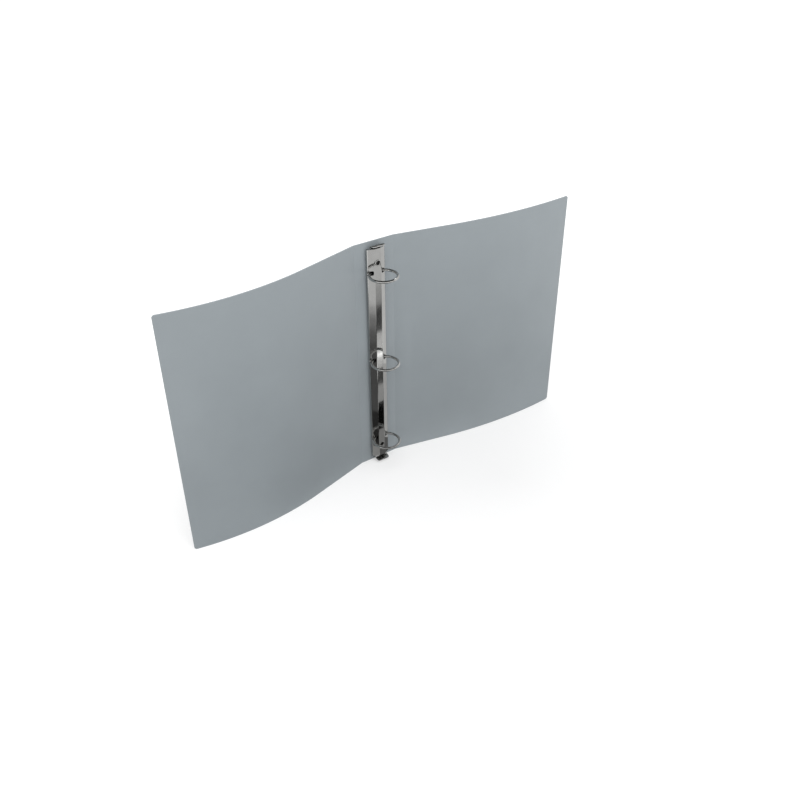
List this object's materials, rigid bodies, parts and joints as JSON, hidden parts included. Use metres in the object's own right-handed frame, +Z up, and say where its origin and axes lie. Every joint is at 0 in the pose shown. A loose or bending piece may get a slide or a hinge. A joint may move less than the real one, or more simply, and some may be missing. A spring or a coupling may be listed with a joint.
{
  "type": "ring binder",
  "caption": "Open ring binder of flexible sheet: spine, hinged bowed covers, arched ring housing with toggle plates, split rings and end triggers.",
  "frame": {"origin": "middle of the spine's bottom edge, at half the sheet's thickness", "axes": "+X along the open width towards the back cover, +Y out of the back of the spine, +Z up the spine; the rings stand out towards -Y"},
  "size_m": [0.5076, 0.0365, 0.284],
  "materials": {
    "cover_sheet": "satin grey polypropylene sheet",
    "ring_metal": "bright nickel-plated steel"
  },
  "bodies": {
    "spine": {"spine_panel": "cover_sheet", "front_hinge_web": "cover_sheet", "back_hinge_web": "cover_sheet", "ring_housing": "ring_metal", "bottom_mounting_post": "ring_metal", "top_mounting_post": "ring_metal", "bottom_trigger_pin": "ring_metal", "top_trigger_pin": "ring_metal"},
    "front_cover": {"front_cover": "cover_sheet"},
    "back_cover": {"back_cover": "cover_sheet"},
    "front_ring_side": {"front_toggle_plate": "ring_metal", "front_ring_half_bottom": "ring_metal", "front_ring_half_middle": "ring_metal", "front_ring_half_top": "ring_metal"},
    "back_ring_side": {"back_toggle_plate": "ring_metal", "back_ring_half_bottom": "ring_metal", "back_ring_half_middle": "ring_metal", "back_ring_half_top": "ring_metal"},
    "bottom_trigger": {"bottom_trigger": "ring_metal"},
    "top_trigger": {"top_trigger": "ring_metal"}
  },
  "joints": [
    {"name": "front_cover_hinge", "type": "hinge", "parent": "spine", "child": "front_cover", "pos_m": [-0.025, 0.00045, 0], "axis": [0, 0, 1], "range_deg": [-90, 79], "deforming": ["front_hinge_web"]},
    {"name": "back_cover_hinge", "type": "hinge", "parent": "spine", "child": "back_cover", "pos_m": [0.025, 0.00045, 0], "axis": [0, 0, -1], "range_deg": [-90, 79], "deforming": ["back_hinge_web"]},
    {"name": "front_ring_swing", "type": "hinge", "parent": "spine", "child": "front_ring_side", "pos_m": [-0.0098, -0.00345, 0], "axis": [0, 0, -1], "range_deg": [0, 14]},
    {"name": "back_ring_swing", "type": "hinge", "parent": "spine", "child": "back_ring_side", "pos_m": [0.0098, -0.00345, 0], "axis": [0, 0, 1], "range_deg": [0, 14]},
    {"name": "bottom_trigger_tilt", "type": "hinge", "parent": "spine", "child": "bottom_trigger", "pos_m": [0, -0.00389, 0.01], "axis": [1, 0, 0], "range_deg": [0, 15.72]},
    {"name": "top_trigger_tilt", "type": "hinge", "parent": "spine", "child": "top_trigger", "pos_m": [0, -0.00389, 0.274], "axis": [-1, 0, 0], "range_deg": [0, 15.72]}
  ],
  "couplings": [
    {"joint": "back_ring_swing", "follows": "front_ring_swing", "ratio": 1},
    {"joint": "bottom_trigger_tilt", "follows": "front_ring_swing", "ratio": 1.1225},
    {"joint": "top_trigger_tilt", "follows": "front_ring_swing", "ratio": 1.1225}
  ]
}
